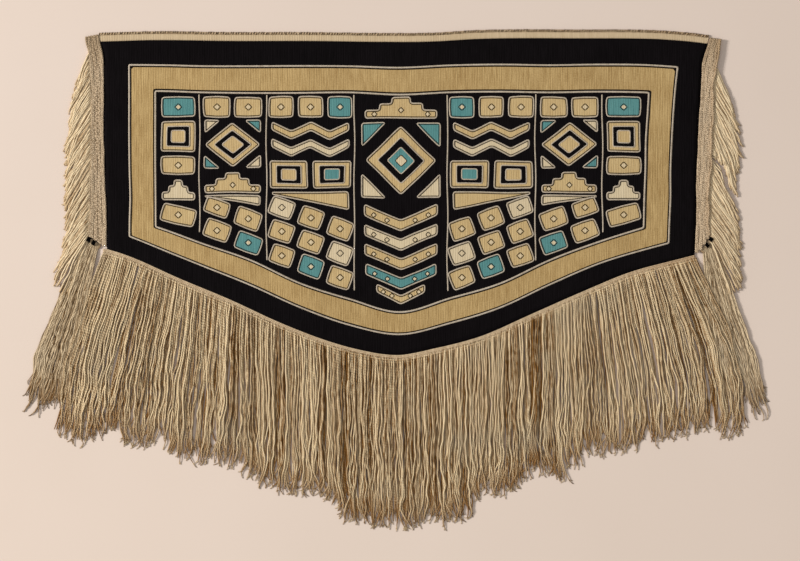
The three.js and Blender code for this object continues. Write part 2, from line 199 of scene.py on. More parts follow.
# Spun yarn: twist stripes run round each strand, whose own tone and place along it are attributes.
# Painted shade darkens its flanks, where strands lie close, and the grooves of its twist.
def spunYarn(name, light, dark, grey, tipColour, pitch, grooveShadeStrength=0.35, flankShade=0.4, sheen=0.04, gloss=0.08):
    material, tree, shader = startMaterial(name, 0.92, sheen, gloss)
    light, dark, grey, tipColour = (dye(colour) for colour in (light, dark, grey, tipColour))
    yarnMap = tree.nodes.new("ShaderNodeUVMap")
    yarnMap.uv_map = "yarn"
    along, around = splitUp(tree, yarnMap.outputs[0])[:2]
    turns = maths(tree, "ADD", maths(tree, "DIVIDE", along, pitch), around)
    twist = maths(tree, "SINE", maths(tree, "MULTIPLY", turns, 2 * turn))
    crest = maths(tree, "SINE", maths(tree, "MULTIPLY", around, turn))
    tone, reach = (tree.nodes.new("ShaderNodeAttribute") for _ in range(2))
    tone.attribute_name, reach.attribute_name = "tone", "reach"
    place = tree.nodes.new("ShaderNodeTexCoord").outputs["Object"]
    own = tree.nodes.new("ShaderNodeCombineXYZ")
    tree.links.new(along, own.inputs[0])
    tree.links.new(tone.outputs["Fac"], own.inputs[1])
    mottle = maths(tree, "SUBTRACT", noiseOn(tree, own.outputs[0], (0.08, 90, 1), 3.0), 0.5)
    drift = noiseOn(tree, place, (7, 7, 7))
    shade = maths(tree, "MULTIPLY_ADD", mottle, 1.5, tone.outputs["Fac"])
    shade = maths(tree, "MULTIPLY_ADD", maths(tree, "SUBTRACT", drift, 0.5), 0.5, shade)
    plain = mixColours(tree, between(tree, shade, 0.0, 1.0), dark, light)
    greyed = mixColours(tree, between(tree, drift, 0.54, 0.7, 0.0, 0.5), plain, grey)
    ended = mixColours(tree, between(tree, reach.outputs["Fac"], 0.84, 1.0, 0.0, 0.7), greyed, tipColour)
    # Painted shade: the grooves of the twist are darkened towards the dark colour
    paintedGrooveShade = maths(tree, "MULTIPLY", between(tree, twist, 0.3, -0.7), grooveShadeStrength)
    grooveShaded = mixColours(tree, paintedGrooveShade, ended, dark, "MULTIPLY")
    # Painted shade: the flanks are darkened towards the dark colour, more the further they lie from the
    # crest
    paintedFlankShade = maths(tree, "MULTIPLY", between(tree, crest, 0.95, 0.1), flankShade)
    fill(tree, shader.inputs["Base Color"], mixColours(tree, paintedFlankShade, grooveShaded, dark, "MULTIPLY"))
    raiseBy(tree, shader, twist, 0.6, 0.8)
    return material


# Smooth curve through a table, level past its ends
def curveThrough(rows):
    places, values = np.array(sorted(rows), float).T
    slopes = np.gradient(values, places)

    def at(place):
        held = np.clip(place, places[0], places[-1])
        i = np.clip(np.searchsorted(places, held) - 1, 0, len(places) - 2)
        step = places[i + 1] - places[i]
        t = (held - places[i]) / step
        start = (2 * t**3 - 3 * t**2 + 1) * values[i] + (t**3 - 2 * t**2 + t) * step * slopes[i]
        end = (3 * t**2 - 2 * t**3) * values[i + 1] + (t**3 - t**2) * step * slopes[i + 1]
        return start + end

    return at


# Corners of the cloth's upright sides, seen from above, in order round its middle
def findClothRim():
    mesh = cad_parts["woven_body"].data
    corners = {
        tuple(round(number / mm, 2) for number in mesh.vertices[i].co.xy)
        for face in mesh.polygons if abs(face.normal.z) < 0.5
        for i in face.vertices
    }
    points = np.array(sorted(corners))
    away = points - (points.min(0) + points.max(0)) / 2
    return points[np.argsort(np.arctan2(away[:, 1], away[:, 0]))]


clothRim = findClothRim()


def sideOfRim(first, last):
    rolled = np.roll(clothRim, -first, axis=0)
    return rolled[: (last - first) % len(clothRim) + 1]


# Each side is carried on above the cloth, where the heading and the side braids end
rimX, rimY = clothRim.T
lowerLeft, lowerRight = np.argmin(rimX + 2 * rimY), np.argmax(rimX - 2 * rimY)
upperRight, upperLeft = np.argmax(rimX + rimY), np.argmin(rimX - rimY)
lowerAt = curveThrough(sideOfRim(lowerLeft, lowerRight).tolist())
topAt = curveThrough(sideOfRim(upperRight, upperLeft).tolist())
sideAt = {
    "left": curveThrough([(y, x) for x, y in sideOfRim(upperLeft, lowerLeft)] + [(590, -685)]),
    "right": curveThrough([(y, x) for x, y in sideOfRim(lowerRight, upperRight)] + [(590, 733)]),
}
outward = {"left": -1, "right": 1}

# Face of the cloth: its thickness and the low swells that it lies in
clothFace = {"thickness": 3.5, "swells": ((0.3, 9, 5), (0.18, 23, 4), (0.22, 41, -7), (0.12, 70, 26))}


def faceAt(x, y):
    left, right = sideAt["left"](y), sideAt["right"](y)
    u = (x - left) / (right - left)
    v = (y - lowerAt(x)) / (topAt(x) - lowerAt(x))
    swells = sum(height * np.sin(across * u + up * v) for height, across, up in clothFace["swells"])
    return clothFace["thickness"] + swells


# Place of a cloth point at u across and v up
def clothPoint(u, v):
    x = sideAt["left"](0) * (1 - u) + sideAt["right"](0) * u
    for _ in range(5):
        y = lowerAt(x) * (1 - v) + topAt(x) * v
        x = sideAt["left"](y) * (1 - u) + sideAt["right"](y) * u
    return x, lowerAt(x) * (1 - v) + topAt(x) * v


# Finished pieces
def toPiece(name, mesh, materials, node=None):
    piece = bpy.data.objects.new(name, mesh)
    bpy.context.scene.collection.objects.link(piece)
    for material in materials:
        mesh.materials.append(material)
    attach(piece, "root")
    if node:
        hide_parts(*([node] if isinstance(node, str) else node))
    return piece


def bmeshToPiece(bm, name, materials, node=None, smooth=True):
    bmesh.ops.recalc_face_normals(bm, faces=bm.faces[:])
    for face in bm.faces:
        face.smooth = smooth
    mesh = bpy.data.meshes.new(name)
    bm.to_mesh(mesh)
    bm.free()
    return toPiece(name, mesh, materials, node)


# Closed slab on a grid, placed by u across and v up, that lies just clear of the floor
def slab(columns, rows, place, top, bottom=0.1):
    bm = bmesh.new()
    bmesh.ops.create_grid(bm, x_segments=columns, y_segments=rows, size=0.5)
    raised = bmesh.ops.extrude_face_region(bm, geom=bm.faces[:])["geom"]
    upper = {element for element in raised if isinstance(element, bmesh.types.BMVert)}
    bm.verts.ensure_lookup_table()
    uv = np.array([(vert.co.x + 0.5, vert.co.y + 0.5) for vert in bm.verts])
    x, y = place(uv[:, 0], uv[:, 1])
    heights = top(uv[:, 0], uv[:, 1], x, y)
    for i, vert in enumerate(bm.verts):
        vert.co = (x[i] * mm, y[i] * mm, (heights[i] if vert in upper else bottom) * mm)
    return bm


def quarterTurn(vectors):
    return np.stack([-vectors[..., 1], vectors[..., 0]], axis=-1)


# Strands: tubes along paths of shape (strands, steps, 3), as joined arrays
def tubes(paths, across, up, sides, closed=False, tone=None):
    paths = np.asarray(paths, float)
    count, steps = paths.shape[:2]
    if closed:
        along = np.roll(paths, -1, axis=1) - np.roll(paths, 1, axis=1)
    else:
        along = np.gradient(paths, axis=1)
    along /= np.linalg.norm(along, axis=2, keepdims=True) + 1e-9
    side = np.cross((0.0, 0.0, 1.0), along)
    side /= np.linalg.norm(side, axis=2, keepdims=True) + 1e-9
    upward = np.cross(along, side)
    angles = (turn * np.arange(sides) / sides)[:, None]
    across, up = (np.broadcast_to(half, (count, steps))[..., None, None] for half in (across, up))
    rings = paths[:, :, None] + side[:, :, None] * np.cos(angles) * across
    rings = rings + upward[:, :, None] * np.sin(angles) * up
    gaps = np.linalg.norm(np.diff(paths, axis=1), axis=2)
    lengths = np.concatenate([np.zeros((count, 1)), np.cumsum(gaps, axis=1)], axis=1)
    tone = np.zeros(count) if tone is None else np.asarray(tone, float)
    return {
        "rings": rings, "lengths": lengths, "closed": closed,
        "tone": np.broadcast_to(tone[:, None], (count, steps)),
        "reach": np.broadcast_to(np.linspace(0, 1, steps), (count, steps)),
    }


def tubeArrays(group, first):
    count, steps, sides = group["rings"].shape[:3]
    number = first + np.arange(count * steps * sides).reshape(count, steps, sides)
    spans = steps if group["closed"] else steps - 1
    here = number[:, :spans]
    after = np.roll(number, -1, axis=1)[:, :spans]
    quads = np.stack([here, np.roll(here, -1, axis=2), np.roll(after, -1, axis=2), after], axis=-1)
    start = np.broadcast_to(group["lengths"][:, :spans, None], here.shape)
    step = (group["lengths"][:, 1] - group["lengths"][:, 0])[:, None, None]
    end = np.roll(group["lengths"], -1, axis=1)[:, :spans, None]
    if group["closed"]:
        end[:, -1] = end[:, -2] + step[:, 0]
    end = np.broadcast_to(end, here.shape)
    low = np.broadcast_to(np.arange(sides) / sides, here.shape)
    high = low + 1 / sides
    uv = np.stack([start, low, start, high, end, high, end, low], axis=-1)
    caps = [] if group["closed"] else [number[:, 0, ::-1], number[:, -1]]
    return quads.reshape(-1, 4), uv.reshape(-1, 2), caps


def tubesToMesh(name, groups):
    first, loops, totals, uvs, points, tones, reaches = 0, [], [], [], [], [], []
    for group in groups:
        quads, uv, caps = tubeArrays(group, first)
        sides = group["rings"].shape[2]
        points.append(group["rings"].reshape(-1, 3))
        tones.append(np.repeat(group["tone"].ravel(), sides))
        reaches.append(np.repeat(group["reach"].ravel(), sides))
        loops.append(quads.ravel())
        totals.append(np.full(len(quads), 4))
        uvs.append(uv)
        for cap in caps:
            loops.append(cap.ravel())
            totals.append(np.full(len(cap), sides))
            uvs.append(np.zeros((cap.size, 2)))
        first += group["rings"].size // 3
    points, loops, totals = np.concatenate(points) * mm, np.concatenate(loops), np.concatenate(totals)
    mesh = bpy.data.meshes.new(name)
    mesh.vertices.add(len(points))
    mesh.vertices.foreach_set("co", points.astype(np.float32).ravel())
    mesh.loops.add(len(loops))
    mesh.loops.foreach_set("vertex_index", loops.astype(np.int32))
    mesh.polygons.add(len(totals))
    starts = np.concatenate([[0], np.cumsum(totals)[:-1]])
    mesh.polygons.foreach_set("loop_start", starts.astype(np.int32))
    mesh.polygons.foreach_set("use_smooth", np.ones(len(totals), bool))
    mesh.uv_layers.new(name="yarn").data.foreach_set("uv", np.concatenate(uvs).astype(np.float32).ravel())
    for attribute, values in (("tone", tones), ("reach", reaches)):
        layer = mesh.attributes.new(attribute, "FLOAT", "POINT")
        layer.data.foreach_set("value", np.concatenate(values).astype(np.float32))
    mesh.update(calc_edges=True)
    mesh.validate()
    return mesh


def strandPiece(name, groups, material, node=None):
    toPiece(name, tubesToMesh(name, groups), [material], node)


def placesAlong(points):
    gaps = np.linalg.norm(np.diff(points, axis=0), axis=1)
    return np.concatenate([[0], np.cumsum(gaps)])


# Even points along a line, or round a closed one
def evenly(points, spacing, closed=False):
    points = np.asarray(points, float)
    if closed:
        points = np.concatenate([points, points[:1]])
    places = placesAlong(points)
    count = max(6, int(round(places[-1] / spacing)))
    wanted = np.linspace(0, places[-1], count, endpoint=not closed)
    return np.stack([np.interp(wanted, places, points[:, i]) for i in range(2)], axis=1)


# Line on the cloth's face as a tube, its middle so far above the face
def cordOn(points, lift, across, up, sides, closed, beads, beadPitch):
    height = faceAt(points[:, 0], points[:, 1]) + lift
    path = np.column_stack([points, height])[None]
    swell = 1 + beads * np.sin(turn * placesAlong(points) / beadPitch)[None]
    return tubes(path, across * swell, up * swell, sides, closed, [0.5])


# The black ground of the cloth, drawn out a little at its lower edge and at its right side
groundCloth = {"columns": 130, "rows": 54, "flat": (1396, 726), "area": 0.815, "drop": 2.0, "spread": 2.4}


def groundPlace(u, v):
    x, y = clothPoint(u, v)
    spread = groundCloth["spread"] * np.clip((u - 0.97) / 0.03, 0, 1)
    return x + spread, y - groundCloth["drop"] * np.clip(1 - v / 0.05, 0, 1)


def weaveGround(black):
    bm = slab(groundCloth["columns"], groundCloth["rows"], groundPlace, lambda u, v, x, y: faceAt(x, y))
    return bmeshToPiece(bm, "cloth_ground", [black], "woven_body")


# Borders. Each row gives a place along one side, and where the outer and the inner cream line lie there.
# Everything between them lies at a share of the way in.
borderRows = {
    "lower": (
        (-612, 104, 150), (-585, 93.4, 138), (-516, 65.1, 113.6), (-447, 37.3, 88), (-332, -8.7, 48.3),
        (-217, -60.3, -5.3), (-102, -101.2, -41.9), (13, -122.4, -71.5), (128, -96.8, -39.8),
        (243, -61, -5.8), (358, -7.6, 48.1), (473, 41.2, 90.9), (588, 75.9, 127), (634, 88.3, 141),
        (655, 94, 147),
    ),
    "top": (
        (-612, 496.8, 437), (-516, 495.9, 436.3), (-447, 494, 433.8), (-332, 493.8, 432.2),
        (-217, 494.3, 432.4), (-102, 493.6, 433.6), (13, 490.4, 428.4), (128, 495.7, 433.8),
        (243, 497.7, 435.2), (358, 496.1, 433.6), (473, 497.7, 435.2), (588, 496.1, 433),
        (634, 493.1, 430), (655, 491.5, 428),
    ),
    "left": (
        (496, -610, -550.5), (439, -609.7, -549.9), (324, -609.7, -549.9), (255, -608.8, -549.7),
        (186, -607.2, -549), (140, -608.6, -548.8), (100, -609, -548.5),
    ),
    "right": (
        (496, 651.5, 588.5), (439, 645.2, 585.5), (393, 641.5, 582.8), (324, 637.6, 578.2),
        (255, 634.6, 577.1), (186, 634.6, 574.5), (140, 632.3, 573.6), (88, 630.5, 572),
    ),
}
borders = {
    "outerCream": 0, "outerDark": 0.065, "yellowFrom": 0.083, "yellowTo": 0.915, "innerDark": 0.932,
    "innerCream": 1, "creamHalf": 2.3, "creamUp": 1.1, "darkHalf": 1.5, "darkUp": 0.75, "rise": 0.22,
    "rounding": {"outerCream": 1, "outerDark": 2, "yellowFrom": 2},
    "counts": {"lower": 540, "right": 150, "top": 500, "left": 150},
    "corners": (
        ("left", "lower", 100), ("right", "lower", 100), ("right", "top", 490), ("left", "top", 490),
    ),
}


# Closed line round the cloth at one share of the way from the outer cream line to the inner one
def ringPath(key):
    share = borders[key]
    lines = {}
    for side, rows in borderRows.items():
        lines[side] = curveThrough([(row[0], row[1] * (1 - share) + row[2] * share) for row in rows])
    corners = []
    for side, level, y in borders["corners"]:
        for _ in range(8):
            x = float(lines[side](y))
            y = float(lines[level](x))
        corners.append((x, y))
    runs = []
    for i, side in enumerate(("lower", "right", "top", "left")):
        upright = i % 2
        first, last = corners[i][upright], corners[i - 3][upright]
        places = np.linspace(first, last, borders["counts"][side], endpoint=False)
        across = lines[side](places)
        runs.append(np.column_stack([across, places] if upright else [places, across]))
    points = np.concatenate(runs)
    for _ in range(borders["rounding"].get(key, 3)):
        points = (np.roll(points, 1, axis=0) + 2 * points + np.roll(points, -1, axis=0)) / 4
    return points


def weaveBorder(yellow):
    bm = bmesh.new()
    rings = []
    for key in ("yellowFrom", "yellowTo"):
        verts = [bm.verts.new((x, y, 0)) for x, y in ringPath(key)[::4]]
        rings += [bm.edges.new((verts[i - 1], verts[i])) for i in range(len(verts))]
    bmesh.ops.bridge_loops(bm, edges=rings)
    crossing = [edge for edge in bm.edges if edge not in set(rings)]
    bmesh.ops.subdivide_edges(bm, edges=crossing, cuts=4, use_grid_fill=True)
    sinkInlay(bm, borders["rise"])
    return bmeshToPiece(bm, "yellow_border", [yellow], smooth=False)


# Turns a flat sheet of faces, its heights above the cloth's face, into a closed inlay on that face
def sinkInlay(bm, rise, depth=1.2):
    bmesh.ops.recalc_face_normals(bm, faces=bm.faces[:])
    raised = bmesh.ops.extrude_face_region(bm, geom=bm.faces[:])["geom"]
    upper = {element for element in raised if isinstance(element, bmesh.types.BMVert)}
    places = np.array([vert.co[:] for vert in bm.verts])
    face = faceAt(places[:, 0], places[:, 1]) + places[:, 2] + rise
    for i, vert in enumerate(bm.verts):
        height = face[i] if vert in upper else face[i] - depth
        vert.co = (places[i, 0] * mm, places[i, 1] * mm, height * mm)


def twineBorderLines(cream, dark):
    for dyed, lift, material in (("cream", 0.0, cream), ("dark", 0.05, dark)):
        half, up = borders[dyed + "Half"], borders[dyed + "Up"]
        rings = [ringPath(place + dyed.capitalize()) for place in ("outer", "inner")]
        groups = [cordOn(ring, lift, half, up, 5, True, 0.1, 6.4) for ring in rings]
        strandPiece(f"border_{dyed}_lines", groups, material)


# Field: generic motifs in panels between thin dividers, mirrored about the cloth's middle. Each row gives
# a motif's shape, its middle out from the centre line and up, its width and height, its turn in degrees
# and its fill. The turn is nought and the fill gold where they aren't given.
field = {
    "centre": 15.0, "cream": 1.65, "creamUp": 1.0, "dark": 0.95, "darkUp": 0.6, "darkInset": 2.9,
    "shrink": 0.88, "lozenge": 5.6, "ring": 8.2, "cut": 26.0, "rise": 0.3, "corner": 6.0, "wander": 0.78,
    "spacing": 3.2, "top": 428,
}
motifRows = (
    ("terrace", 0, 398, 186, 54), ("nest", 0, 277, 184, 176), ("wedge", 62, 336, 64, 62, 0, "teal"),
    ("wedge", 62, 219, 62, 64, 270, "cream"), ("chevron", 0, 148, 190, 76),
    ("chevron", 0, 103, 190, 76, 0, "cream"), ("chevron", 0, 58, 190, 76),
    ("chevron", 0, 13, 184, 74, 0, "teal"), ("chevron", 0, -28, 124, 56),
    ("block", 140, 400, 62, 52, 0, "teal"), ("block", 208, 400, 62, 52), ("block", 276, 400, 62, 52),
    ("zigzag", 208, 347, 200, 50), ("zigzag", 208, 308, 200, 50, 0, "cream"),
    ("square", 158, 245, 98, 70), ("square", 258, 245, 98, 70), ("ramp", 208, 184, 200, 46),
    ("block", 140, 120, 60, 48, 20), ("block", 207, 145, 60, 48, 20),
    ("block", 274, 169, 60, 46, 20, "cream"), ("block", 140, 64, 60, 48, 20, "cream"),
    ("block", 207, 89, 60, 48, 20), ("block", 274, 114, 60, 48, 20), ("block", 140, 8, 60, 48, 20),
    ("block", 207, 33, 60, 48, 20, "teal"), ("block", 274, 58, 60, 48, 20), ("block", 351, 400, 68, 50),
    ("block", 423, 400, 68, 50), ("nest", 387, 314, 144, 116), ("wedge", 434, 355, 40, 34, 0, "cream"),
    ("wedge", 340, 355, 34, 40, 90, "teal"), ("wedge", 434, 275, 34, 40, 270, "teal"),
    ("wedge", 340, 275, 40, 34, 180, "cream"), ("terrace", 387, 226, 144, 52),
    ("ramp", 387, 185, 144, 26, 0, "cream"), ("block", 351, 143, 66, 46, 20),
    ("block", 423, 169, 64, 40, 20), ("block", 351, 88, 66, 46, 20, "teal"),
    ("block", 423, 116, 64, 46, 20), ("block", 512, 400, 86, 50, 0, "teal"), ("square", 512, 332, 86, 78),
    ("block", 512, 266, 86, 44), ("terrace", 512, 210, 86, 52, 0, "cream"),
    ("block", 512, 152, 86, 44, 14),
)
dividers = ({"out": 107, "low": -22}, {"out": 309, "low": 48}, {"out": 463, "low": 112})
shapes = {
    "block": ((-0.5, -0.5), (0, -0.53), (0.5, -0.5), (0.52, 0),
              (0.5, 0.5), (0, 0.53), (-0.5, 0.5), (-0.52, 0)),
    "square": ((-0.5, -0.5), (0.5, -0.5), (0.5, 0.5), (-0.5, 0.5)),
    "nest": ((0, -0.5), (0.5, 0), (0, 0.5), (-0.5, 0)),
    "wedge": ((0.5, -0.5), (0.5, 0.5), (-0.5, 0.5)),
    "ramp": ((-0.5, -0.5), (0.5, 0.4), (0.5, 0.5), (-0.5, 0.5)),
    "chevron": ((0, -0.5), (0.5, 0.05), (0.5, 0.42), (0, -0.12), (-0.5, 0.42), (-0.5, 0.05)),
    "zigzag": ((-0.5, 0), (-0.25, -0.5), (0, 0), (0.25, -0.5), (0.5, 0),
               (0.5, 0.42), (0.25, -0.06), (0, 0.42), (-0.25, -0.06), (-0.5, 0.42)),
    "terrace": ((-0.5, -0.5), (0.5, -0.5), (0.5, -0.12), (0.3, -0.12), (0.3, 0.2), (0.13, 0.2), (0.13, 0.5),
                (-0.13, 0.5), (-0.13, 0.2), (-0.3, 0.2), (-0.3, -0.12), (-0.5, -0.12)),
}


def roundedOutline(corners, radius):
    corners = np.asarray(corners, float)
    points = []
    for i, corner in enumerate(corners):
        arms = [corners[i - 1] - corner, corners[(i + 1) % len(corners)] - corner]
        cut = min(radius, 0.46 * min(np.linalg.norm(arm) for arm in arms))
        start, end = (corner + arm / np.linalg.norm(arm) * cut for arm in arms)
        for t in (0, 0.25, 0.5, 0.75, 1):
            points.append((1 - t) ** 2 * start + 2 * t * (1 - t) * corner + t**2 * end)
    return evenly(points, field["spacing"], True)


# A hand-woven line is never quite true
def unevenly(points):
    x, y = points.T
    dx = np.sin(x / 47 + y / 31) + 0.6 * np.sin(x / 19 - y / 27)
    dy = np.sin(x / 39 - y / 53 + 2) + 0.6 * np.sin(x / 23 + y / 17)
    return points + field["wander"] * np.column_stack([dx, dy])


def motifOutline(shape, out, up, width, height, angle, side, scale=1.0, radius=None):
    scale = scale * field["shrink"]
    corners = np.array(shapes[shape], float) * (width * scale, height * scale)
    a = math.radians(angle)
    turned = corners @ np.array([[math.cos(a), math.sin(a)], [-math.sin(a), math.cos(a)]])
    turned = (turned + (out, up)) * (side, 1) + (field["centre"], 0)
    if side < 0:
        turned = turned[::-1]
    return unevenly(roundedOutline(turned, field["corner"] if radius is None else radius))


def inset(points, distance):
    along = np.roll(points, -1, axis=0) - np.roll(points, 1, axis=0)
    along /= np.linalg.norm(along, axis=1, keepdims=True) + 1e-9
    return points + quarterTurn(along) * distance


def lozenge(middle, reach):
    corners = middle + reach * np.array([(1, 0), (0, 1), (-1, 0), (0, -1)])
    return evenly(corners, field["spacing"], True)


# The field's fills, as one sheet of faces, and its lines, gathered as motifs are laid
def layPlate(work, points, dyed, lift=0.0):
    face = work["bm"].faces.new([work["bm"].verts.new((x, y, lift)) for x, y in points])
    face.material_index = ("gold", "cream", "teal", "black").index(dyed)


def layLine(work, points, dyed, lift=0.0, closed=True):
    half, up = (field["cream"], field["creamUp"]) if dyed == "cream" else (field["dark"], field["darkUp"])
    work[dyed].append(cordOn(points, lift, half, up, 5 if dyed == "cream" else 4, closed, 0.08, 5.2))


def layLozenge(work, middle, size=1.0):
    layPlate(work, lozenge(middle, field["lozenge"] * size), "cream", 0.35)
    layLine(work, lozenge(middle, field["ring"] * size), "dark", field["rise"] + 0.1)


def layMotif(work, side, shape, out, up, width, height, angle=0, dyed="gold"):
    middle = np.array([field["centre"] + side * out, up])
    motif = (shape, out, up, width, height, angle, side)
    outline = motifOutline(*motif)
    layPlate(work, outline, dyed)
    layLine(work, outline, "cream", 0.1)
    layLine(work, inset(outline, field["darkInset"]), "dark", field["rise"] + 0.1)
    if shape == "block":
        layLozenge(work, middle)
    if shape in ("nest", "square"):
        heart = "teal" if out < 200 else "gold"
        for scale, inner, lift in ((0.68, "black", 0.12), (0.4, heart, 0.24)):
            points = motifOutline(*motif, scale, 4.0)
            layPlate(work, points, inner, lift)
            layLine(work, points, "cream", 0.25)
    if shape == "nest" and min(width, height) > 150:
        points = motifOutline(*motif, 0.18, 3.0)
        layPlate(work, points, "cream", 0.42)
        layLine(work, points, "dark", 0.7)
    if shape == "terrace" and width > 100:
        for shift in (-0.33, 0, 0.33):
            layLozenge(work, middle + (shift * width, -0.27 * height if shift else -0.1 * height), 0.8)
    if shape == "chevron":
        for shift in (-0.33, -0.17, 0.17, 0.33):
            layLozenge(work, middle + (shift * width * side, (abs(shift) * 1.0 - 0.28) * height), 0.75)


def weaveField(fills, outline, dark):
    work = {"bm": bmesh.new(), "cream": [], "dark": []}
    for row in motifRows:
        for side in (1, -1) if row[1] else (1,):
            layMotif(work, side, *row)
    for row in dividers:
        for side in (1, -1):
            x = field["centre"] + side * row["out"]
            layLine(work, unevenly(evenly([(x, row["low"]), (x, field["top"])], 2.6)), "cream", 0.0, False)
    bm = work["bm"]
    low, high = frameBox[0] / mm, frameBox[1] / mm
    for start, end, axis in ((low.x, high.x, (1, 0, 0)), (low.y, high.y, (0, 1, 0))):
        for place in np.arange(start, end, field["cut"]):
            point = [place * share for share in axis]
            everything = bm.verts[:] + bm.edges[:] + bm.faces[:]
            bmesh.ops.bisect_plane(bm, geom=everything, dist=1e-4, plane_co=point, plane_no=axis)
    sinkInlay(bm, field["rise"])
    bmeshToPiece(bm, "field_fills", fills, smooth=False)
    for dyed, material in (("cream", outline), ("dark", dark)):
        strandPiece(f"field_{dyed}_lines", work[dyed], material)


# Heading: a ribbed cream band along the top, then a cream edge cord with slanted whip stitches over it
headingBand = {"long": 1400, "from": 0.3, "width": 14.5, "thickness": 3.8, "rib": 3.3, "ribUp": 0.15}
whipStitches = {
    "long": 1404, "pitch": 5.8, "from": 15.4, "to": 20.9, "slant": 3.2, "ragged": 0.8,
    "across": 0.72, "up": 0.8, "shares": (0.55, 0.9, 1, 1, 1, 1, 0.9, 0.6),
    "heights": ((0, 0.2, 0.5, 0.8, 1), (3.3, 4.1, 4.4, 3.2, 1.5)),
    "core": 17.6, "coreAcross": 2.9, "coreUp": 1.8, "coreHeight": 2.1,
}


def headingPlace(u, above):
    levels = [topAt(corner.x / mm) + above for corner in frameBox]
    x = sideAt["left"](levels[0]) * (1 - u) + sideAt["right"](levels[1]) * u
    return x, topAt(x) + above


def twineHeading(cream):
    ribs = int(round(headingBand["long"] / headingBand["rib"]))

    def place(u, v):
        return headingPlace(u, headingBand["from"] + v * headingBand["width"])

    def top(u, v, x, y):
        rib = headingBand["ribUp"] * np.abs(np.sin(math.pi * ribs * u + 0.8 * v))
        roll = np.where((v < 0.01) | (v > 0.99), -0.9, 0)
        return headingBand["thickness"] - 0.2 + rib + roll + 0.25 * np.sin(31 * u)

    bm = slab(ribs * 3, 5, place, top)
    bmeshToPiece(bm, "heading_band", [cream], "top_heading")


def lashHeading(brown, cream, rng):
    count = int(whipStitches["long"] / whipStitches["pitch"])
    u = (np.arange(count) + 0.5 + rng.uniform(-0.2, 0.2, count)) / count
    t = np.linspace(0, 1, len(whipStitches["shares"]))
    above = whipStitches["from"] + t * (whipStitches["to"] - whipStitches["from"])
    ragged = rng.uniform(-whipStitches["ragged"], whipStitches["ragged"], count)[:, None]
    x, y = headingPlace(u[:, None] * np.ones(len(t)), above[None, :] + ragged)
    x = x + (t - 0.5)[None, :] * whipStitches["slant"]
    z = np.broadcast_to(np.interp(t, *whipStitches["heights"]), x.shape)
    across = whipStitches["across"] * np.array(whipStitches["shares"])
    tone = rng.uniform(0, 1, count)
    stitches = tubes(np.stack([x, y, z], axis=2), across, whipStitches["up"], 6, tone=tone)
    strandPiece("heading_whip_stitches", [stitches], brown, "heading_lashing")
    u = np.linspace(0.001, 0.999, 560)
    x, y = headingPlace(u, whipStitches["core"])
    swell = 1 + 0.08 * np.sin(turn * x / 5.1)[None]
    path = np.stack([x, y, np.full(len(u), whipStitches["coreHeight"])], axis=1)[None]
    core = tubes(path, whipStitches["coreAcross"] * swell, whipStitches["coreUp"] * swell, 6, tone=[0.5])
    strandPiece("heading_edge_cord", [core], cream)


# Side braids: flat plaits side by side on a low backing, with a two-strand cord along the outer edge
sideBand = {
    "outer": {
        "left": ((575, -709), (555, -708), (531, -706), (508, -704), (462, -700), (416, -699), (347, -699),
                 (267, -700), (186, -702), (129, -704), (100, -706), (60, -706)),
        "right": ((575, 756), (555, 753), (531, 746), (508, 743), (462, 736), (416, 733), (347, 732),
                  (267, 728), (186, 723), (129, 722), (100, 727), (60, 727)),
    },
    "foot": {"left": ((0, 0.6), (0.26, 5.5), (1, 28)), "right": ((0, 0.6), (0.26, 3.4), (1, 44))},
    "top": {"left": (568, 563), "right": (561, 556)}, "seam": {"left": 0.8, "right": 2.8},
    "plaits": 4, "share": 0.9, "strand": 2.0, "strandUp": 1.25, "pitch": 10.5, "weave": 0.8, "overlap": 0.35,
    "long": 485, "step": 1.75, "base": {"left": 3.6, "right": 5.0},
    "tone": {"left": (0.35, 1.0), "right": (0.6, 1.25)},
    "cord": 1.8, "cordPitch": 12, "cordSway": 1.6, "cordHeight": {"left": 3.2, "right": 7.2},
}


def bandPoint(side, across, share):
    corner = clothRim[lowerLeft if side == "left" else lowerRight][1]
    low = corner + np.interp(across, *np.array(sideBand["foot"][side]).T)
    inner, outer = sideBand["top"][side]
    y = low + (inner + (outer - inner) * across - low) * share
    edge = curveThrough(sideBand["outer"][side])(y)
    seam = sideAt[side](y) + outward[side] * sideBand["seam"][side]
    return seam + (edge - seam) * across, y


